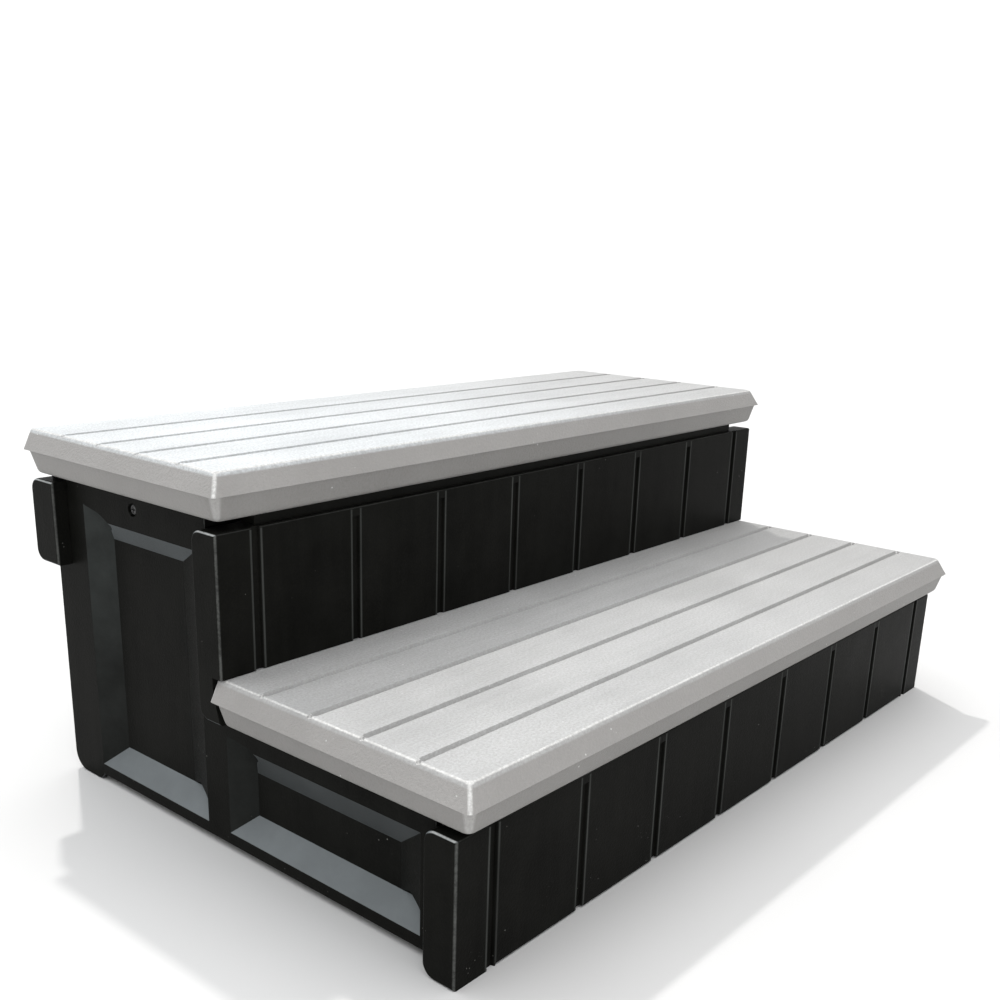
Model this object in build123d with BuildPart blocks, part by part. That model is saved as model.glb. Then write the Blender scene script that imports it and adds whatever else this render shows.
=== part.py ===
from build123d import *
import math
import os

os.makedirs("parts", exist_ok=True)

# Two-step spa steps. Millimetres, +Z up, origin on the floor under the middle of the bounding box.
# The front (lower step) faces -Y, +X is to the right when standing in front of the steps.

# ---------------------------------------------------------------- driving dimensions
TREAD_LENGTH = 914.0
TREAD_DEPTH = 308.0
TREAD_THICK = 43.0
UPPER_TOP = 362.0
LOWER_TOP = 178.5
OVERALL_DEPTH = 596.0

RIM_FLARE = 9.8
RIM_HEIGHT = 19.7
RIM_STEP = 1.5
SKIRT_TAPER_IN = 7.0
SKIRT_ROUND = 6.0
FRONT_CORNER_ROUND = 7.0
REAR_CORNER_ROUND = 5.0
TOP_EDGE_ROUND = 4.0

TREAD_GROOVES = 4
TREAD_GROOVE_WIDTH = 8.4
TREAD_GROOVE_DEPTH = 3.4
TREAD_GROOVE_TAPER = 30.0
TREAD_GROOVE_END = 2.5
NICK_R = 2.6
TREAD_WALL = 3.2
TREAD_FLOOR = 4.8

EAR_X = 451.5
SIDE_OUTER_X = 436.0
SIDE_INNER_X = 411.0
SIDE_X = (SIDE_OUTER_X + SIDE_INNER_X) / 2
SIDE_THICK = SIDE_OUTER_X - SIDE_INNER_X

LOWER_FACE_Y = -280.5
UPPER_FACE_Y = -2.0
POST_THICK = 35.0
FIELD_THICK = 27.0
PLANK_PITCH = 116.7
PLANK_GROOVES = 8
PLANK_GROOVE_WIDTH = 9.5
PLANK_GROOVE_DEPTH = 3.0
PLANK_GROOVE_STOP = 8.5
RISER_WALL = 3.0
RISER_EDGE_ROUND = 2.0
BLOW_HOLE_R = 4.0
TONGUE_SETBACK = 7.0
TONGUE_DEPTH = 17.0
LOWER_RISER_GAP = 6.0
UPPER_RISER_GAP = 9.5
SHELF_DEPTH = 24.0
SHELF_THICK = 12.0
APRON_DROP = 26.0
FIELD_LIFT = 2.0

REAR_Y = 284.0
RAIL_BOTTOM_Z = 7.0
FIT = 0.4

REAR_RAIL_FRONT_Y = 257.0
REAR_RAIL_BACK_Y = 297.5
REAR_RAIL_BOTTOM = 230.0
REAR_RAIL_TOP = 314.0

SCREW_DROP = 15.0
SHANK_R = 2.3
PILOT_R = 2.4
CLEARANCE_R = 2.6
HEAD_R = 5.0
HEAD_HEIGHT = 3.2
COUNTERBORE_R = 6.5
COUNTERBORE_DEPTH = 4.5
DRIVE_R = 1.9
DRIVE_DEPTH = 2.0
SCREW_LENGTH = 40.0

UPPER_BOTTOM = UPPER_TOP - TREAD_THICK
LOWER_BOTTOM = LOWER_TOP - TREAD_THICK
LOWER_CENTRE_Y = -OVERALL_DEPTH / 2 + TREAD_DEPTH / 2
UPPER_CENTRE_Y = OVERALL_DEPTH / 2 - TREAD_DEPTH / 2
CLEAT_INNER_X = SIDE_INNER_X - 24.0
CLEAT_OUTER_X = SIDE_INNER_X - FIT
CLEAT_LENGTH = 64.0
CLEAT_DROP = 34.0
CLEAT_EDGE_ROUND = 3.0


def block(x0, x1, y0, y1, z0, z1, mode=Mode.ADD):
    """A plain box between two corners, used inside an open BuildPart."""
    with Locations(((x0 + x1) / 2, (y0 + y1) / 2, (z0 + z1) / 2)):
        return Box(x1 - x0, y1 - y0, z1 - z0, mode=mode)


def both_sides(x0, x1, y0, y1, z0, z1, mode=Mode.ADD):
    """The same box on the right and, mirrored, on the left."""
    block(x0, x1, y0, y1, z0, z1, mode=mode)
    block(-x1, -x0, y0, y1, z0, z1, mode=mode)


# ---------------------------------------------------------------- tread moulding (used twice)
# Local frame: middle of the top surface, z = 0 on the walking face.
RIM_ANGLE = math.degrees(math.atan(RIM_FLARE / RIM_HEIGHT))
SKIRT_ANGLE = math.degrees(math.atan(SKIRT_TAPER_IN / (TREAD_THICK - RIM_HEIGHT)))
TREAD_GROOVE_PITCH = TREAD_DEPTH / (TREAD_GROOVES + 1)
GROOVE_LENGTH = TREAD_LENGTH - 2 * RIM_FLARE - 2 * TREAD_GROOVE_END
CAVITY_INSET = RIM_STEP + TREAD_WALL
CAVITY_TOP = -(TREAD_GROOVE_DEPTH + TREAD_WALL)
CAVITY_HEIGHT = TREAD_THICK + CAVITY_TOP - TREAD_FLOOR
DIMPLE_COLUMNS = 7
DIMPLE_PITCH_X = 116.0
DIMPLE_PITCH_Y = 2 * TREAD_GROOVE_PITCH

with BuildPart() as tread_moulding:
    # the front and the ends flare out down to the rim, the rear is upright
    with BuildSketch(Plane.XY.offset(-RIM_HEIGHT)):
        with Locations((0, RIM_FLARE)):
            Rectangle(TREAD_LENGTH, TREAD_DEPTH + 2 * RIM_FLARE)
    extrude(amount=RIM_HEIGHT, taper=RIM_ANGLE)
    rear_y = TREAD_DEPTH / 2
    block(-TREAD_LENGTH, TREAD_LENGTH, rear_y, 2 * rear_y, -TREAD_THICK, TREAD_THICK, mode=Mode.SUBTRACT)
    slanted = tread_moulding.edges().filter_by(lambda e: abs(e.tangent_at(0.5).Z) > 0.5)
    fillet(slanted.filter_by(lambda e: e.center().Y < 0), FRONT_CORNER_ROUND)
    slanted = tread_moulding.edges().filter_by(lambda e: abs(e.tangent_at(0.5).Z) > 0.5)
    fillet(slanted.filter_by(lambda e: e.center().Y > 0), REAR_CORNER_ROUND)
    fillet(tread_moulding.edges().group_by(Axis.Z)[-1], TOP_EDGE_ROUND)
    with BuildSketch(Plane.XY.offset(-RIM_HEIGHT)):
        RectangleRounded(
            TREAD_LENGTH - 2 * RIM_STEP, TREAD_DEPTH - 2 * RIM_STEP, FRONT_CORNER_ROUND + SKIRT_TAPER_IN
        )
    extrude(amount=-(TREAD_THICK - RIM_HEIGHT), taper=SKIRT_ANGLE)
    fillet(tread_moulding.edges().group_by(Axis.Z)[0], SKIRT_ROUND)

    # lengthwise plank grooves, with a small nick where each one meets the end rim
    with BuildSketch(Plane.XY):
        with GridLocations(0, TREAD_GROOVE_PITCH, 1, TREAD_GROOVES):
            SlotOverall(GROOVE_LENGTH, TREAD_GROOVE_WIDTH)
    extrude(amount=-TREAD_GROOVE_DEPTH, taper=TREAD_GROOVE_TAPER, mode=Mode.SUBTRACT)
    nick_x = TREAD_LENGTH / 2 - RIM_FLARE
    with GridLocations(2 * nick_x, TREAD_GROOVE_PITCH, 2, TREAD_GROOVES):
        Sphere(NICK_R, mode=Mode.SUBTRACT)

    # blow-moulded hollow with kiss-off columns between the two walls
    for height, angle in (
        (RIM_HEIGHT + CAVITY_TOP, RIM_ANGLE),
        (RIM_HEIGHT + CAVITY_TOP - CAVITY_HEIGHT, SKIRT_ANGLE),
    ):
        with BuildSketch(Plane.XY.offset(-RIM_HEIGHT)):
            RectangleRounded(TREAD_LENGTH - 2 * CAVITY_INSET, TREAD_DEPTH - 2 * CAVITY_INSET, 12)
        extrude(amount=height, taper=angle, mode=Mode.SUBTRACT)
    with Locations((0, 0, CAVITY_TOP - CAVITY_HEIGHT / 2)):
        with GridLocations(DIMPLE_PITCH_X, DIMPLE_PITCH_Y, DIMPLE_COLUMNS, 2):
            Cone(15, 9, CAVITY_HEIGHT + 1)
    with Locations((0, 0, -TREAD_THICK + (CAVITY_HEIGHT - 2) / 2)):
        with GridLocations(DIMPLE_PITCH_X, DIMPLE_PITCH_Y, DIMPLE_COLUMNS, 2):
            Cone(11.5, 5.5, CAVITY_HEIGHT - 2, mode=Mode.SUBTRACT)
    with Locations((0, 0, -TREAD_THICK)):
        Cylinder(BLOW_HOLE_R, 4 * TREAD_WALL, mode=Mode.SUBTRACT)

    # end cleats that the side screws bite into
    both_sides(
        CLEAT_INNER_X,
        CLEAT_OUTER_X,
        -CLEAT_LENGTH / 2,
        CLEAT_LENGTH / 2,
        -TREAD_THICK - CLEAT_DROP,
        -TREAD_THICK + 1,
    )
    fillet(tread_moulding.edges().filter_by(Axis.Y).group_by(Axis.Z)[0], CLEAT_EDGE_ROUND)
    for x in (CLEAT_OUTER_X, -CLEAT_OUTER_X):
        with Locations((x, 0, -TREAD_THICK - SCREW_DROP)):
            Cylinder(CLEARANCE_R, 60, rotation=(0, 90, 0), mode=Mode.SUBTRACT)

with BuildPart() as upper_tread:
    with Locations((0, UPPER_CENTRE_Y, UPPER_TOP)):
        add(tread_moulding.part)
upper_tread.part.label = "upper_tread"

with BuildPart() as lower_tread:
    with Locations((0, LOWER_CENTRE_Y, LOWER_TOP)):
        add(tread_moulding.part)
lower_tread.part.label = "lower_tread"

# ---------------------------------------------------------------- risers
# The vertical edges of the side panels carry a T-shaped bead; the risers slide down over it.
BEAD_NECK = 10.0
BEAD_HEAD = 18.0
BEAD_NECK_DEPTH = 8.0
BEAD_DEPTH = 16.0
EAR_EDGE_ROUND = 3.0
EAR_TOP_ROUND = 12.0
EAR_FOOT_ROUND = 13.0


def plank_grooves(face_y, z0, z1, z_top):
    """Vertical grooves of a riser; the outermost pair runs out at the top."""
    first = -(PLANK_GROOVES - 1) / 2 * PLANK_PITCH
    for i in range(PLANK_GROOVES):
        x = first + i * PLANK_PITCH
        outer = i in (0, PLANK_GROOVES - 1)
        top = z_top + 1 if outer else z1
        with BuildSketch(Plane.XY.offset(z0)) as section:
            with Locations((x, face_y)):
                Trapezoid(PLANK_GROOVE_WIDTH + 2.2, PLANK_GROOVE_DEPTH * 2, 70)
        extrude(section.sketch, amount=top - z0, mode=Mode.SUBTRACT)


def bead_slot(back_y, z0, z1, mode=Mode.SUBTRACT, grow=FIT):
    """T-slot for the bead of a side panel, open at the bottom, at both ends of a riser."""
    for side in (1, -1):
        x = side * SIDE_X
        neck = BEAD_NECK / 2 + grow
        head = BEAD_HEAD / 2 + grow
        block(x - neck, x + neck, back_y - BEAD_NECK_DEPTH - 1, back_y + 1, z0, z1, mode)
        head_front = back_y - BEAD_DEPTH - grow
        head_back = back_y - BEAD_NECK_DEPTH + grow
        block(x - head, x + head, head_front, head_back, z0, z1, mode)


FIELD_HALF = (PLANK_GROOVES - 1) / 2 * PLANK_PITCH
LOWER_RISER_TOP = LOWER_BOTTOM - LOWER_RISER_GAP
LOWER_BACK_Y = LOWER_FACE_Y + POST_THICK
UPPER_RISER_TOP = UPPER_BOTTOM - UPPER_RISER_GAP
UPPER_BACK_Y = UPPER_FACE_Y + POST_THICK
NOTCH_BACK_Y = LOWER_CENTRE_Y + TREAD_DEPTH / 2 + FIT


def riser_blank(face_y, field_bottom, post_bottom, top, tread_bottom):
    """Plank field between two rounded end posts, with the set-back tongue along the top."""
    back_y = face_y + POST_THICK
    tongue_y = face_y + TONGUE_SETBACK
    with BuildPart() as blank:
        both_sides(FIELD_HALF - 6, EAR_X, face_y, back_y, post_bottom, top)
        for radius, rank in ((EAR_TOP_ROUND, -1), (EAR_FOOT_ROUND, 0)):
            back_edges = blank.edges().filter_by(Axis.X).filter_by(lambda e: e.center().Y > back_y - 0.1)
            fillet(back_edges.group_by(Axis.Z)[rank], radius)
        fillet(blank.edges().filter_by(lambda e: abs(e.center().X) > EAR_X - 0.1), EAR_EDGE_ROUND)
        block(-FIELD_HALF, FIELD_HALF, face_y, face_y + FIELD_THICK, field_bottom, top)
        front_top = blank.edges().filter_by(Axis.X).filter_by(
            lambda e: e.center().Z > top - 0.1 and e.center().Y < face_y + 0.1
        )
        fillet(front_top, RISER_EDGE_ROUND)
        block(
            -FIELD_HALF + 4, FIELD_HALF - 4, tongue_y, tongue_y + TONGUE_DEPTH, top - 1, tread_bottom
        )
    return blank.part


def field_hollow(face_y, z0, z1):
    """Closed hollow of the plank field, with its blow hole in the back wall."""
    front = face_y + PLANK_GROOVE_DEPTH + RISER_WALL
    back = face_y + FIELD_THICK - RISER_WALL
    half = FIELD_HALF - 10
    block(-half, half, front, back, z0 + RISER_WALL, z1 - RISER_WALL, mode=Mode.SUBTRACT)
    with Locations((0, face_y + FIELD_THICK, (z0 + z1) / 2)):
        Cylinder(BLOW_HOLE_R, 4 * RISER_WALL, rotation=(90, 0, 0), mode=Mode.SUBTRACT)


lower_blank = riser_blank(LOWER_FACE_Y, FIELD_LIFT, 0, LOWER_RISER_TOP, LOWER_BOTTOM)
upper_blank = riser_blank(UPPER_FACE_Y, LOWER_BOTTOM, LOWER_BOTTOM, UPPER_RISER_TOP, UPPER_BOTTOM)

with BuildPart() as lower_riser:
    add(lower_blank)
    plank_grooves(LOWER_FACE_Y, -1, LOWER_RISER_TOP - PLANK_GROOVE_STOP, LOWER_RISER_TOP)
    field_hollow(LOWER_FACE_Y, FIELD_LIFT, LOWER_RISER_TOP)
    bead_slot(LOWER_BACK_Y, -1, LOWER_RISER_TOP - 12)
lower_riser.part.label = "lower_riser"

with BuildPart() as upper_riser:
    add(upper_blank)
    plank_grooves(UPPER_FACE_Y, LOWER_BOTTOM, UPPER_RISER_TOP - PLANK_GROOVE_STOP, UPPER_RISER_TOP)
    # rebate that takes the rear edge of the lower tread and follows its skirt
    with BuildSketch(Plane.YZ) as rebate:
        with BuildLine():
            Polyline(
                (UPPER_FACE_Y - 1, LOWER_TOP + FIT),
                (NOTCH_BACK_Y, LOWER_TOP + FIT),
                (NOTCH_BACK_Y, LOWER_TOP - RIM_HEIGHT - FIT),
                (NOTCH_BACK_Y - RIM_STEP, LOWER_TOP - RIM_HEIGHT - FIT),
                (NOTCH_BACK_Y - RIM_STEP - SKIRT_TAPER_IN, LOWER_BOTTOM),
                (NOTCH_BACK_Y - RIM_STEP - SKIRT_TAPER_IN, LOWER_BOTTOM - 1),
                (UPPER_FACE_Y - 1, LOWER_BOTTOM - 1),
                close=True,
            )
        make_face()
    extrude(amount=EAR_X + 1, both=True, mode=Mode.SUBTRACT)
    # apron between the side panels with a shelf under the rear edge of the lower tread
    apron_x = SIDE_INNER_X - FIT
    apron_back_y = UPPER_FACE_Y + FIELD_THICK
    shelf_front_y = UPPER_FACE_Y - SHELF_DEPTH
    block(-apron_x, apron_x, UPPER_FACE_Y, apron_back_y, LOWER_BOTTOM - APRON_DROP, LOWER_BOTTOM)
    block(-apron_x, apron_x, shelf_front_y, UPPER_FACE_Y, LOWER_BOTTOM - SHELF_THICK, LOWER_BOTTOM)
    field_hollow(UPPER_FACE_Y, LOWER_TOP + FIT, UPPER_RISER_TOP)
    bead_slot(UPPER_BACK_Y, LOWER_BOTTOM - 1, UPPER_RISER_TOP - 12)
upper_riser.part.label = "upper_riser"

# ---------------------------------------------------------------- side panels
RECESS_DEPTH = 15.0
WEB_THICK = 5.0
RECESS_X = SIDE_OUTER_X - RECESS_DEPTH
POCKET_X = RECESS_X - WEB_THICK
TALL_POCKET = (56, 218, 34, 275)
LOW_POCKET = (-222, -10, 34, 100)
TALL_FRONT_Y = UPPER_BACK_Y + FIT
BLIND_DEPTH = 19.0
REAR_PILOT_DEPTH = 36.0
FOOT_FRONT_Y = 236.0
FOOT_ROUND = 10.0
HEEL_ROUND = 20.0
PANEL_EDGE_ROUND = 2.0

# recess outlines in (y, z), the rim on the outer face and the floor, from the front bottom corner round
TALL_RIM = [(48.5, 20), (48.5, 283.5), (229, 283.5), (229, 20)]
TALL_FLOOR = [(89.5, 42), (89.5, 263), (202.5, 263), (202.5, 42)]
LOW_RIM = [(-229, 20), (-229, 112), (15.5, 112), (15.5, 20)]
LOW_FLOOR = [(-192.5, 41), (-192.5, 84), (-9, 84), (-9, 41)]

# edges of the two cut-back corners of each recess, from the floor corner out to the rim
TALL_REAR_ARCH = [
    (202.5, 263),
    (193, 274),
    (187, 283),
    (193, 286.5),
    (202, 290.3),
    (216, 293.2),
    (229, 295.8),
]
LOW_REAR_ARCH = [
    (-9, 84),
    (-20, 101),
    (-24.5, 108),
    (-19.5, 114.2),
    (-10.7, 115.7),
    (4, 117.1),
    (15.5, 117.3),
]
TALL_FRONT_ARCH = [(89.5, 42), (70, 50), (52, 45), (48.5, 43.5)]
LOW_FRONT_ARCH = [(-192.5, 41), (-210, 49.3), (-226, 44.8), (-229, 43.5)]
ARCH_REACH = 60.0


def recess_tool(rim, floor):
    """Closed solid between the rim outline and the floor outline of a panel recess."""
    outer = [Vector(SIDE_OUTER_X, y, z) for y, z in rim]
    inner = [Vector(RECESS_X, y, z) for y, z in floor]
    rim_edges = [Edge.make_line(outer[i], outer[i - 3]) for i in range(4)]
    floor_edges = [Edge.make_line(inner[i], inner[i - 3]) for i in range(4)]
    sides = [Face.make_surface_from_curves(a, b) for a, b in zip(rim_edges, floor_edges)]
    return Solid(Shell(sides + [Face(Wire(rim_edges)), Face(Wire(floor_edges))]))


def corner_outline(arch, corner):
    """Outline of a cut-back corner: smooth along the arch, then square through the recess corner."""
    with BuildSketch(Plane.YZ.offset(RECESS_X)) as outline:
        with BuildLine():
            Polyline(arch[0], arch[1])
            Spline(*arch[1:])
            Polyline(arch[-1], corner, arch[0])
        make_face()
    return outline.sketch


def rear_corner_tool(arch, rim, floor):
    """Carries the rear bevel of a recess on upwards, past the top bevel, to the arch."""
    rim_y = rim[2][0]
    floor_y = floor[2][0]
    run = (rim_y - floor_y) / RECESS_DEPTH
    with BuildPart() as tool:
        extrude(corner_outline(arch, (rim_y, floor[2][1])), amount=RECESS_DEPTH)
        with BuildSketch(Plane.XY.offset(floor[2][1] - 1)) as above_bevel:
            with BuildLine():
                Polyline(
                    (RECESS_X - 1, floor_y - run),
                    (SIDE_OUTER_X + 1, rim_y + run),
                    (SIDE_OUTER_X + 1, floor_y - ARCH_REACH),
                    (RECESS_X - 1, floor_y - ARCH_REACH),
                    close=True,
                )
            make_face()
        extrude(above_bevel.sketch, amount=ARCH_REACH, mode=Mode.INTERSECT)
    return tool.part


def front_corner_tool(arch, rim, floor):
    """Carries the bottom bevel of a recess on forwards, past the front bevel, to the arch."""
    rim_y, rim_z = rim[0]
    floor_y, floor_z = floor[0]
    rise = (floor_z - rim_z) / RECESS_DEPTH
    with BuildPart() as tool:
        extrude(corner_outline(arch, (rim_y, rim_z)), amount=RECESS_DEPTH)
        with BuildSketch(Plane.XZ.offset(-floor_y - 1)) as above_bevel:
            with BuildLine():
                Polyline(
                    (RECESS_X - 1, floor_z + rise),
                    (SIDE_OUTER_X + 1, rim_z - rise),
                    (SIDE_OUTER_X + 1, floor_z + ARCH_REACH),
                    (RECESS_X - 1, floor_z + ARCH_REACH),
                    close=True,
                )
            make_face()
        extrude(above_bevel.sketch, amount=ARCH_REACH, mode=Mode.INTERSECT)
    return tool.part


recess_tools = [
    recess_tool(TALL_RIM, TALL_FLOOR),
    rear_corner_tool(TALL_REAR_ARCH, TALL_RIM, TALL_FLOOR),
    front_corner_tool(TALL_FRONT_ARCH, TALL_RIM, TALL_FLOOR),
    recess_tool(LOW_RIM, LOW_FLOOR),
    rear_corner_tool(LOW_REAR_ARCH, LOW_RIM, LOW_FLOOR),
    front_corner_tool(LOW_FRONT_ARCH, LOW_RIM, LOW_FLOOR),
]

with BuildPart() as right_side_panel:
    with BuildSketch(Plane.YZ.offset(SIDE_INNER_X)):
        with BuildLine():
            Polyline(
                (LOWER_BACK_Y + FIT, RAIL_BOTTOM_Z),
                (LOWER_BACK_Y + FIT, LOWER_BOTTOM),
                (TALL_FRONT_Y, LOWER_BOTTOM),
                (TALL_FRONT_Y, UPPER_BOTTOM),
                (REAR_Y, UPPER_BOTTOM),
                (REAR_Y, 0),
                (FOOT_FRONT_Y, 0),
                (FOOT_FRONT_Y - 6, RAIL_BOTTOM_Z),
                close=True,
            )
        make_face()
    extrude(amount=SIDE_THICK)
    across = right_side_panel.edges().filter_by(Axis.X)
    fillet(across.filter_by(lambda e: e.center().Z < 0.1 and e.center().Y > REAR_Y - 0.1), HEEL_ROUND)
    across = right_side_panel.edges().filter_by(Axis.X)
    fillet(across.filter_by(lambda e: e.center().Z < 0.1 and e.center().Y < FOOT_FRONT_Y + 0.1), FOOT_ROUND)
    fillet(right_side_panel.faces().sort_by(Axis.X)[-1].edges(), PANEL_EDGE_ROUND)
    for tool in recess_tools:
        add(tool, mode=Mode.SUBTRACT)
    # shallow pockets on the inner face leave a thin web behind each recess
    for y0, y1, z0, z1 in (TALL_POCKET, LOW_POCKET):
        block(SIDE_INNER_X - 1, POCKET_X, y0, y1, z0, z1, mode=Mode.SUBTRACT)
    # T-beads for the two risers
    for back_y, z0, z1 in (
        (LOWER_BACK_Y, RAIL_BOTTOM_Z, LOWER_RISER_TOP - 12.5),
        (UPPER_BACK_Y, LOWER_BOTTOM, UPPER_RISER_TOP - 12.5),
    ):
        neck = BEAD_NECK / 2
        head = BEAD_HEAD / 2
        block(SIDE_X - neck, SIDE_X + neck, back_y - BEAD_DEPTH, back_y + 1, z0, z1)
        block(SIDE_X - head, SIDE_X + head, back_y - BEAD_DEPTH, back_y - BEAD_NECK_DEPTH, z0, z1)
    # counterbored hole for the upper tread's screw, blind pilot for the lower tread's
    with Locations((SIDE_X, UPPER_CENTRE_Y, UPPER_BOTTOM - SCREW_DROP)):
        Cylinder(CLEARANCE_R, SIDE_THICK + 2, rotation=(0, 90, 0), mode=Mode.SUBTRACT)
    with Locations((SIDE_OUTER_X, UPPER_CENTRE_Y, UPPER_BOTTOM - SCREW_DROP)):
        Cylinder(COUNTERBORE_R, 2 * COUNTERBORE_DEPTH, rotation=(0, 90, 0), mode=Mode.SUBTRACT)
    with Locations((SIDE_INNER_X, LOWER_CENTRE_Y, LOWER_BOTTOM - SCREW_DROP)):
        Cylinder(PILOT_R, 2 * BLIND_DEPTH, rotation=(0, 90, 0), mode=Mode.SUBTRACT)
    for z in (REAR_RAIL_BOTTOM + 20, REAR_RAIL_TOP - 20):
        with Locations((SIDE_X, REAR_Y, z)):
            Cylinder(PILOT_R, 2 * REAR_PILOT_DEPTH, rotation=(90, 0, 0), mode=Mode.SUBTRACT)
right_side_panel.part.label = "right_side_panel"

with BuildPart() as left_side_panel:
    mirror(right_side_panel.part, about=Plane.YZ)
left_side_panel.part.label = "left_side_panel"

# ---------------------------------------------------------------- rear rail
RAIL_WALL = 5.5
RAIL_TOP_ROUND = 12.0
RAIL_FOOT_ROUND = 12.0
RAIL_POCKET_BACK_Y = REAR_Y + FIT

with BuildPart() as rear_rail:
    block(-EAR_X, EAR_X, REAR_RAIL_FRONT_Y, REAR_RAIL_BACK_Y, REAR_RAIL_BOTTOM, REAR_RAIL_TOP)
    for radius, rank in ((RAIL_TOP_ROUND, -1), (RAIL_FOOT_ROUND, 0)):
        back_edges = rear_rail.edges().filter_by(Axis.X).filter_by(
            lambda e: e.center().Y > REAR_RAIL_BACK_Y - 0.1
        )
        fillet(back_edges.group_by(Axis.Z)[rank], radius)
    fillet(rear_rail.edges().filter_by(lambda e: abs(e.center().X) > EAR_X - 0.1), EAR_EDGE_ROUND)
    # tongue under the upper tread
    block(
        -SIDE_INNER_X + 8,
        SIDE_INNER_X - 8,
        REAR_RAIL_FRONT_Y + 6,
        REAR_RAIL_FRONT_Y + 6 + TONGUE_DEPTH,
        REAR_RAIL_TOP - 1,
        UPPER_BOTTOM,
    )
    # pockets that slide over the rear edges of the side panels
    both_sides(
        SIDE_INNER_X - FIT,
        SIDE_OUTER_X + FIT,
        REAR_RAIL_FRONT_Y - 1,
        RAIL_POCKET_BACK_Y,
        REAR_RAIL_BOTTOM - 1,
        REAR_RAIL_TOP + 1,
        mode=Mode.SUBTRACT,
    )
    block(
        -SIDE_INNER_X + 8,
        SIDE_INNER_X - 8,
        REAR_RAIL_FRONT_Y + RAIL_WALL,
        REAR_RAIL_BACK_Y - RAIL_WALL,
        REAR_RAIL_BOTTOM + RAIL_WALL,
        REAR_RAIL_TOP - RAIL_WALL,
        mode=Mode.SUBTRACT,
    )
    with Locations((0, REAR_RAIL_FRONT_Y, (REAR_RAIL_BOTTOM + REAR_RAIL_TOP) / 2)):
        Cylinder(BLOW_HOLE_R, 4 * RAIL_WALL, rotation=(90, 0, 0), mode=Mode.SUBTRACT)
    for z in (REAR_RAIL_BOTTOM + 20, REAR_RAIL_TOP - 20):
        for x in (SIDE_X, -SIDE_X):
            with Locations((x, REAR_RAIL_BACK_Y, z)):
                Cylinder(CLEARANCE_R, 40, rotation=(90, 0, 0), mode=Mode.SUBTRACT)
                Cylinder(COUNTERBORE_R, 2 * COUNTERBORE_DEPTH, rotation=(90, 0, 0), mode=Mode.SUBTRACT)
rear_rail.part.label = "rear_rail"

# ---------------------------------------------------------------- screws
# Local frame: z = 0 under the pan head, the shank pointing to -Z.
with BuildPart() as pan_screw:
    with Locations((0, 0, HEAD_HEIGHT / 2)):
        Cylinder(HEAD_R, HEAD_HEIGHT)
    fillet(pan_screw.edges().group_by(Axis.Z)[-1], 1.6)
    with Locations((0, 0, -(SCREW_LENGTH - 4) / 2)):
        Cylinder(SHANK_R, SCREW_LENGTH - 4)
    with Locations((0, 0, -SCREW_LENGTH + 2)):
        Cone(0.4, SHANK_R, 4)
    with BuildSketch(Plane.XY.offset(HEAD_HEIGHT)):
        Rectangle(2 * DRIVE_R + 2.4, 1.3)
        Rectangle(1.3, 2 * DRIVE_R + 2.4)
    extrude(amount=-DRIVE_DEPTH, mode=Mode.SUBTRACT)

SEAT_X = SIDE_OUTER_X - COUNTERBORE_DEPTH
SEAT_Y = REAR_RAIL_BACK_Y - COUNTERBORE_DEPTH

# the upper pair is driven inwards from the outside, the lower pair outwards from under the step
with BuildPart() as upper_tread_screws:
    for side in (1, -1):
        seat = (side * SEAT_X, UPPER_CENTRE_Y, UPPER_BOTTOM - SCREW_DROP)
        with Locations(Location(seat, (0, side * 90, 0))):
            add(pan_screw.part)
upper_tread_screws.part.label = "upper_tread_screws"

with BuildPart() as lower_tread_screws:
    for side in (1, -1):
        seat = (side * CLEAT_INNER_X, LOWER_CENTRE_Y, LOWER_BOTTOM - SCREW_DROP)
        with Locations(Location(seat, (0, -side * 90, 0))):
            add(pan_screw.part)
lower_tread_screws.part.label = "lower_tread_screws"

with BuildPart() as rear_rail_screws:
    for z in (REAR_RAIL_BOTTOM + 20, REAR_RAIL_TOP - 20):
        for x in (SIDE_X, -SIDE_X):
            with Locations(Location((x, SEAT_Y, z), (-90, 0, 0))):
                add(pan_screw.part)
rear_rail_screws.part.label = "rear_rail_screws"

# ---------------------------------------------------------------- export
for piece in (
    upper_tread,
    lower_tread,
    upper_riser,
    lower_riser,
    left_side_panel,
    right_side_panel,
    rear_rail,
    upper_tread_screws,
    lower_tread_screws,
    rear_rail_screws,
):
    export_step(piece.part, f"parts/{piece.part.label}.step")
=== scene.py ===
import math

import bpy
from mathutils import Matrix, Vector


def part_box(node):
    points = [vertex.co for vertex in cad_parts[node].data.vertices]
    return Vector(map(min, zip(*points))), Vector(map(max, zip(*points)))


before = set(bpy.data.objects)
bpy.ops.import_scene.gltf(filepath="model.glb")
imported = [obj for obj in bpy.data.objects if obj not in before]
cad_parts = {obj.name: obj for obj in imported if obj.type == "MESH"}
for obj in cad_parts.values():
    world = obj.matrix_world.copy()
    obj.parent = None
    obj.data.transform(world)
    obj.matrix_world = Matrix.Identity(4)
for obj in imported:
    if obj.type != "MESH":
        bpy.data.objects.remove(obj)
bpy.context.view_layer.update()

# ---------------------------------------------------------------- places on the steps, in metres
LOWER_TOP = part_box("lower_tread")[1][2]
UPPER_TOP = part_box("upper_tread")[1][2]
PANEL_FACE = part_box("right_side_panel")[1][0]
POST_THICKNESS = 0.035
PLANK_FACES = [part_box(riser)[1][1] - POST_THICKNESS for riser in ("lower_riser", "upper_riser")]
PLANK_PITCH = 0.1167


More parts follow.
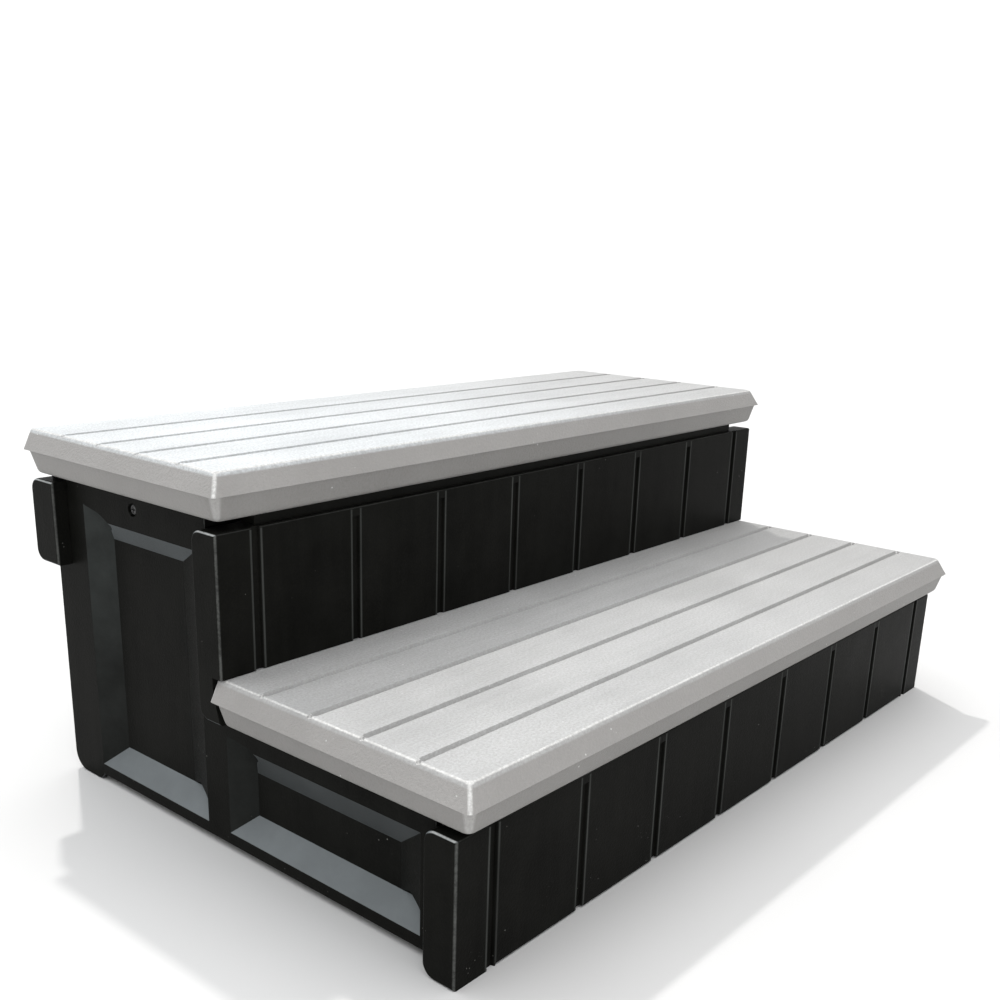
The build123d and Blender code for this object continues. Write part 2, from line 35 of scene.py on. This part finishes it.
# ---------------------------------------------------------------- material helpers
class Shader:
    """A material's node tree, with short ways to add the nodes used here.

    x, y and z are the point's place in metres, and nx, ny and nz the direction its surface faces.
    """

    def __init__(self, name):
        self.mat = bpy.data.materials.new(name)
        self.mat.use_nodes = True
        self.tree = self.mat.node_tree
        self.tree.nodes.clear()
        out = self.tree.nodes.new("ShaderNodeOutputMaterial")
        self.bsdf = self.tree.nodes.new("ShaderNodeBsdfPrincipled")
        self.tree.links.new(self.bsdf.outputs[0], out.inputs[0])
        self.place = self.tree.nodes.new("ShaderNodeTexCoord").outputs["Object"]
        self.x, self.y, self.z = self.parts(self.place)
        facing = self.tree.nodes.new("ShaderNodeNewGeometry").outputs["Normal"]
        self.nx, self.ny, self.nz = self.parts(facing)

    def feed(self, socket, value):
        """Links a node's output to the socket, or sets a plain value on it."""
        if isinstance(value, bpy.types.NodeSocket):
            self.tree.links.new(value, socket)
        else:
            socket.default_value = value

    def set(self, **values):
        """Feeds the shader's own sockets, named with _ for each space."""
        for name, value in values.items():
            self.feed(self.bsdf.inputs[name.replace("_", " ")], value)

    def parts(self, vector):
        n = self.tree.nodes.new("ShaderNodeSeparateXYZ")
        self.feed(n.inputs[0], vector)
        return n.outputs

    def math(self, operation, a, b=0.0):
        n = self.tree.nodes.new("ShaderNodeMath")
        n.operation = operation
        self.feed(n.inputs[0], a)
        self.feed(n.inputs[1], b)
        return n.outputs[0]

    def times(self, product, *factors):
        for factor in factors:
            product = self.math("MULTIPLY", product, factor)
        return product

    def most(self, a, b):
        return self.math("MAXIMUM", a, b)

    def least(self, a, b):
        return self.math("MINIMUM", a, b)

    def absolute(self, value):
        return self.math("ABSOLUTE", value)

    def distance(self, value, centre):
        return self.absolute(self.math("SUBTRACT", value, centre))

    def average(self, a, b, share):
        """A weighted average of two values: share of a, and the rest of b."""
        return self.math("ADD", self.times(a, share), self.times(b, 1 - share))

    def fit(self, value, low, high, to_low=0.0, to_high=1.0):
        """Maps low..high to to_low..to_high, and holds it there outside that range."""
        n = self.tree.nodes.new("ShaderNodeMapRange")
        self.feed(n.inputs[0], value)
        for i, v in enumerate((low, high, to_low, to_high), start=1):
            n.inputs[i].default_value = v
        return n.outputs[0]

    def band(self, value, start, full, fading, end):
        """1 from full to fading, and 0 up to start and past end."""
        return self.times(self.fit(value, start, full), self.fit(value, end, fading))

    def noise(self, scale, detail, rough=0.5, stretch=(1, 1, 1), distortion=0.0):
        mapping = self.tree.nodes.new("ShaderNodeMapping")
        self.feed(mapping.inputs["Vector"], self.place)
        mapping.inputs["Scale"].default_value = stretch
        n = self.tree.nodes.new("ShaderNodeTexNoise")
        self.feed(n.inputs["Vector"], mapping.outputs[0])
        n.inputs["Scale"].default_value = scale
        n.inputs["Detail"].default_value = detail
        n.inputs["Roughness"].default_value = rough
        n.inputs["Distortion"].default_value = distortion
        return n.outputs[0]

    def dots(self, scale, edge, core):
        """Scattered dots, one to a cell: 1 inside the core radius, and 0 past the edge radius."""
        n = self.tree.nodes.new("ShaderNodeTexVoronoi")
        self.feed(n.inputs["Vector"], self.place)
        n.inputs["Scale"].default_value = scale
        return self.fit(n.outputs["Distance"], edge, core)

    def mix(self, share, a, b):
        """Colour a, with a share of colour b."""
        n = self.tree.nodes.new("ShaderNodeMix")
        n.data_type = "RGBA"
        self.feed(n.inputs[0], share)
        self.feed(n.inputs[6], a)
        self.feed(n.inputs[7], b)
        return n.outputs[2]

    def bump(self, height, distance, strength, under=None):
        n = self.tree.nodes.new("ShaderNodeBump")
        n.inputs["Strength"].default_value = strength
        n.inputs["Distance"].default_value = distance
        self.feed(n.inputs["Height"], height)
        if under is not None:
            self.feed(n.inputs["Normal"], under)
        return n.outputs[0]


def grey(value):
    return (value, value, value, 1)


# ---------------------------------------------------------------- light grey treads
def below_top(s, top):
    """The few millimetres below a tread's top, where its edge rounds, nicks and groove walls are."""
    return s.band(s.z, top - 0.0045, top - 0.0030, top + 0.001, top + 0.002)


def walking_face(s, blotch, streak):
    """Colour of the tops, with painted sheen that lightens the upper one towards its left end, and painted
    shade that greys both towards the right.
    """
    plain = s.mix(blotch, (0.365, 0.368, 0.369, 1), (0.435, 0.438, 0.439, 1))
    plain = s.mix(streak, plain, (0.485, 0.489, 0.490, 1))
    # Painted sheen: a paler, cooler tone for the upper top, strongest at its left end.
    sheen_colour = s.mix(blotch, (0.490, 0.515, 0.531, 1), (0.590, 0.618, 0.637, 1))
    sheen_colour = s.mix(streak, sheen_colour, (0.665, 0.694, 0.714, 1))
    sheen_share = s.times(s.fit(s.z, 0.20, 0.34), s.fit(s.x, 0.45, -0.25, 0.10, 1.0))
    colour = s.mix(sheen_share, plain, sheen_colour)
    # Painted shade: the tops turn greyer towards their right ends.
    return s.mix(s.fit(s.x, -0.05, 0.42, 0.0, 0.38), colour, (0.270, 0.264, 0.258, 1))


def painted_tread_edge_highlights(s, colour):
    """Painted highlights on the rounded top edges and the upright corners."""
    edge = s.times(s.band(s.nz, 0.66, 0.80, 0.92, 0.99), s.fit(s.ny, 0.3, 0.0))
    corner = s.fit(s.least(s.absolute(s.nx), s.absolute(s.ny)), 0.30, 0.50)
    corner = s.times(corner, s.fit(s.nz, -0.1, 0.3, 0.35, 1.0), 0.85)
    colour = s.mix(edge, colour, (0.600, 0.600, 0.590, 1))
    return s.mix(corner, colour, (0.700, 0.700, 0.690, 1))


def tread_plastic():
    """Light grey resin: granular and blotchy, with painted shade on its flared sides and undersides,
    painted sheen on the tops and painted highlights on the corners.
    """
    s = Shader("tread_plastic")
    blotch = s.fit(s.noise(9, 4, 0.6), 0.36, 0.66)
    streak = s.fit(s.noise(30, 5, 0.65, stretch=(0.12, 1.6, 1.6), distortion=0.6), 0.35, 0.68)
    skin = s.fit(s.noise(420, 3, 0.7), 0.40, 0.60)
    # Painted shade: upright sides darker than the tops, and downward faces darker still.
    sides = s.mix(blotch, (0.282, 0.274, 0.265, 1), (0.312, 0.304, 0.295, 1))
    under = s.mix(blotch, (0.218, 0.212, 0.204, 1), (0.244, 0.238, 0.229, 1))
    colour = s.mix(s.fit(s.nz, 0.25, 0.0), sides, under)
    # Rims and groove walls just below each top take the top's colour, painted sheen included.
    rims = s.most(below_top(s, LOWER_TOP), below_top(s, UPPER_TOP))
    tops = s.most(s.fit(s.nz, 0.55, 0.95), s.times(rims, 0.8))
    colour = s.mix(tops, colour, walking_face(s, blotch, s.times(streak, 0.5)))
    # Painted highlights on the tread's edges and corners.
    colour = painted_tread_edge_highlights(s, colour)
    colour = s.mix(s.times(skin, 0.45), colour, (0.270, 0.264, 0.258, 1))
    dust = s.times(s.dots(95, 0.10, 0.05), s.fit(s.noise(14, 2), 0.55, 0.62))
    colour = s.mix(s.times(dust, 0.8), colour, grey(0.66))
    relief = s.bump(streak, 0.0005, 0.5)
    s.set(
        Base_Color=colour,
        Roughness=s.fit(s.average(blotch, skin, 0.5), 0, 1, 0.45, 0.62),
        Normal=s.bump(skin, 0.0003, 0.7, under=relief),
        Specular_IOR_Level=0.3,
    )
    return s.mat


# ---------------------------------------------------------------- black mouldings
def specks(s, colour):
    """Pale dust in patches, with finer dust near the floor."""
    dust = s.times(s.dots(120, 0.085, 0.05), s.fit(s.noise(22, 2), 0.62, 0.68))
    low_dust = s.times(s.dots(230, 0.13, 0.08), s.fit(s.noise(40, 2), 0.58, 0.66), s.fit(s.z, 0.05, 0.0))
    return s.mix(s.times(s.most(dust, low_dust), 0.7), colour, (0.26, 0.26, 0.24, 1))


def sloped(s):
    """Surfaces that lean about halfway between level and upright, facing up or down."""
    return s.band(s.absolute(s.nz), 0.40, 0.52, 0.76, 0.90)


def painted_sky_sheen_bevels(s, colour, cloud):
    """Painted blue-grey sky reflection on the top and bottom bevels of the side recesses, weaker where they
    face down.
    """
    sky_sheen = s.times(sloped(s), s.fit(s.absolute(s.nx), 0.30, 0.52), s.fit(s.nz, -0.1, 0.1, 0.5, 1.0))
    return s.mix(s.times(sky_sheen, s.fit(cloud, 0, 1, 0.85, 1.0)), colour, (0.162, 0.178, 0.185, 1))


def painted_sheen_rear_bevels(s, colour, cloud):
    """Painted grey sheen on the rear bevels of the side recesses, weaker towards the floor."""
    rear_sheen = s.times(s.band(s.absolute(s.ny), 0.40, 0.46, 0.53, 0.58), s.fit(s.absolute(s.nz), 0.2, 0.1))
    rear_sheen = s.times(rear_sheen, s.fit(s.absolute(s.x), PANEL_FACE + 0.0002, PANEL_FACE - 0.0002))
    rear_sheen = s.times(rear_sheen, s.fit(s.z, 0.10, 0.27, 0.35, 1.0), s.fit(cloud, 0, 1, 0.6, 1.0))
    return s.mix(rear_sheen, colour, (0.040, 0.044, 0.043, 1))


def painted_frame_edge_highlights(s, colour, patchy):
    """Painted highlights: grey on the upright front edges and level top edges, and pale on the posts' outer
    top edges.
    """
    post_end = s.fit(s.absolute(s.x), PANEL_FACE + 0.001, PANEL_FACE + 0.003)
    turned = s.least(s.absolute(s.nx), s.absolute(s.ny))
    front = s.most(s.fit(turned, 0.52, 0.66), s.times(post_end, s.fit(turned, 0.22, 0.62)))
    front = s.times(front, s.fit(s.ny, 0.0, -0.3))
    top = s.times(sloped(s), s.fit(s.absolute(s.nx), 0.30, 0.10), 0.25)
    colour = s.mix(s.times(s.most(front, top), patchy), colour, (0.092, 0.095, 0.091, 1))
    post_top_highlight = s.times(post_end, s.fit(s.least(s.absolute(s.nx), s.nz), 0.38, 0.58))
    post_top_highlight = s.times(post_top_highlight, s.fit(s.absolute(s.ny), 0.45, 0.15))
    return s.mix(s.times(post_top_highlight, patchy), colour, (0.420, 0.430, 0.425, 1))


def painted_groove_lip_highlights(s, colour, drawn):
    """Painted grey highlights on both lips of each groove between the planks of the risers."""
    along = s.math("MODULO", s.math("ADD", s.x, 4 * PLANK_PITCH), PLANK_PITCH)
    lip = s.band(s.distance(along, PLANK_PITCH / 2), 0.0044, 0.0052, 0.0064, 0.0072)
    lower, upper = (s.distance(s.y, face + 0.001) for face in PLANK_FACES)
    lip = s.times(lip, s.fit(s.least(lower, upper), 0.0035, 0.0025))
    lip = s.times(lip, s.fit(s.absolute(s.ny), 0.2, 0.3), s.fit(s.absolute(s.nz), 0.3, 0.1))
    return s.mix(s.times(lip, s.fit(drawn, 0, 1, 0.45, 1.0)), colour, (0.052, 0.055, 0.052, 1))


def frame_plastic():
    """Black resin: low sheen with a fine pebble and a few specks, with painted reflections on the recess
    bevels and painted highlights on the edges and groove lips.
    """
    s = Shader("frame_plastic")
    cloud = s.fit(s.noise(16, 4, 0.6), 0.35, 0.65)
    pebble = s.fit(s.noise(420, 3, 0.65), 0.3, 0.7)
    drawn = s.fit(s.noise(60, 3, 0.6, stretch=(1, 1, 0.12)), 0.35, 0.7)
    patchy = s.fit(s.math("ADD", cloud, pebble), 0.4, 1.5, 0.35, 1.0)
    colour = s.mix(cloud, (0.0044, 0.0045, 0.0039, 1), (0.0074, 0.0075, 0.0066, 1))
    colour = s.mix(s.times(drawn, pebble, 0.5), colour, (0.0120, 0.0120, 0.0106, 1))
    colour = specks(s, colour)
    # Painted reflections and highlights on the bevels, edges and groove lips.
    colour = painted_sky_sheen_bevels(s, colour, cloud)
    colour = painted_frame_edge_highlights(s, colour, patchy)
    colour = painted_sheen_rear_bevels(s, colour, cloud)
    colour = painted_groove_lip_highlights(s, colour, drawn)
    s.set(
        Base_Color=colour,
        Roughness=s.fit(s.average(cloud, pebble, 0.4), 0, 1, 0.32, 0.48),
        Normal=s.bump(pebble, 0.0002, 0.5),
        Specular_IOR_Level=0.022,
    )
    return s.mat


# ---------------------------------------------------------------- screws and floor
def screw_black():
    """Black coated steel with the coating thinned on the high spots."""
    s = Shader("screw_black")
    wear = s.fit(s.noise(900, 3, 0.6), 0.55, 0.7)
    s.set(
        Base_Color=s.mix(wear, (0.012, 0.012, 0.012, 1), (0.09, 0.09, 0.085, 1)),
        Roughness=s.fit(wear, 0, 1, 0.45, 0.3),
        Normal=s.bump(wear, 0.00005, 0.4),
    )
    return s.mat


def floor_paint():
    """Matt pale paint, very slightly uneven."""
    s = Shader("floor")
    s.set(
        Base_Color=s.mix(s.fit(s.noise(2, 2), 0.3, 0.7), grey(0.59), grey(0.62)),
        Roughness=0.95,
        Specular_IOR_Level=0.0,
    )
    return s.mat


black = frame_plastic()
finishes = {"tread": tread_plastic(), "screws": screw_black()}
for name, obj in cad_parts.items():
    obj.data.materials.clear()
    obj.data.materials.append(finishes.get(name.split("_")[-1], black))

bpy.ops.mesh.primitive_plane_add(size=60)
floor = bpy.context.object
floor.name = "floor"
floor.data.materials.append(floor_paint())


# ---------------------------------------------------------------- light
def studio_world():
    """Soft white light: pale at the horizon, dim from about 15 to 37 degrees up, and bright overhead."""
    stops = [(0.0, 0.5), (0.19, 0.5), (0.26, 0.16), (0.6, 0.26), (0.8, 0.9), (1.0, 1.0)]
    world = bpy.data.worlds.new("studio")
    world.use_nodes = True
    tree = world.node_tree
    split = tree.nodes.new("ShaderNodeSeparateXYZ")
    tree.links.new(tree.nodes.new("ShaderNodeTexCoord").outputs["Generated"], split.inputs[0])
    ramp = tree.nodes.new("ShaderNodeValToRGB")
    tree.links.new(split.outputs[2], ramp.inputs[0])
    while len(ramp.color_ramp.elements) < len(stops):
        ramp.color_ramp.elements.new(0.5)
    for element, (height, level) in zip(ramp.color_ramp.elements, stops):
        element.position = height
        element.color = grey(level)
    brightness = tree.nodes.new("ShaderNodeMath")
    brightness.operation = "MULTIPLY"
    brightness.inputs[1].default_value = 2.35
    tree.links.new(ramp.outputs[0], brightness.inputs[0])
    background = tree.nodes["Background"]
    background.inputs["Color"].default_value = grey(1)
    tree.links.new(brightness.outputs[0], background.inputs["Strength"])
    return world


def aim(light, direction, distance=0.0, target=(0, 0, 0.15)):
    """Places a light in a direction from the middle of the steps, and turns it to face them."""
    d = Vector(direction).normalized()
    light.location = Vector(target) + distance * d
    light.rotation_mode = "QUATERNION"
    light.rotation_quaternion = d.to_track_quat("Z", "Y")
    bpy.context.scene.collection.objects.link(light)


def softbox(name, direction, distance, width, height, radiance, colour=(1, 1, 1)):
    data = bpy.data.lights.new(name, "AREA")
    data.shape = "RECTANGLE"
    data.size = width
    data.size_y = height
    data.energy = radiance * math.pi * width * height
    data.color = colour
    aim(bpy.data.objects.new(name, data), direction, distance)


bpy.context.scene.world = studio_world()
bpy.context.scene.view_settings.view_transform = "Standard"
key = bpy.data.lights.new("key", "SUN")
key.energy = 1.45
key.angle = math.radians(2)
key.color = (1, 0.985, 0.96)
aim(bpy.data.objects.new("key", key), (0.29, 0.52, 0.85))
softbox("rear_left", (-0.30, 0.74, 0.60), 6.0, 3.0, 3.0, 2.2, (0.9, 0.96, 1))
softbox("front_low", (-0.617, -0.725, 0.09), 2.6, 0.3, 0.9, 8)


# ---------------------------------------------------------------- camera
def camera_turn(azimuth, elevation, roll):
    """The camera's turn, from the direction it stands in and its roll, in degrees."""
    azimuth, elevation, roll = (math.radians(angle) for angle in (azimuth, elevation, roll))
    reach = math.cos(elevation)
    back = Vector((reach * math.sin(azimuth), -reach * math.cos(azimuth), math.sin(elevation)))
    level = Vector((0, 0, 1)).cross(back).normalized()
    above = back.cross(level)
    right = math.cos(roll) * level + math.sin(roll) * above
    up = math.cos(roll) * above - math.sin(roll) * level
    return Matrix((right, up, back)).transposed().to_4x4()


cam_data = bpy.data.cameras.new("camera")
cam_data.sensor_width = 36
cam_data.lens = 41.952
cam_data.shift_x = 0.00674
cam_data.shift_y = 0.11273
cam = bpy.data.objects.new("camera", cam_data)
cam.matrix_world = Matrix.Translation((-1.01716, -0.78947, 0.55154)) @ camera_turn(-49.657, 17.817, 1.693)
bpy.context.scene.collection.objects.link(cam)
bpy.context.scene.camera = cam
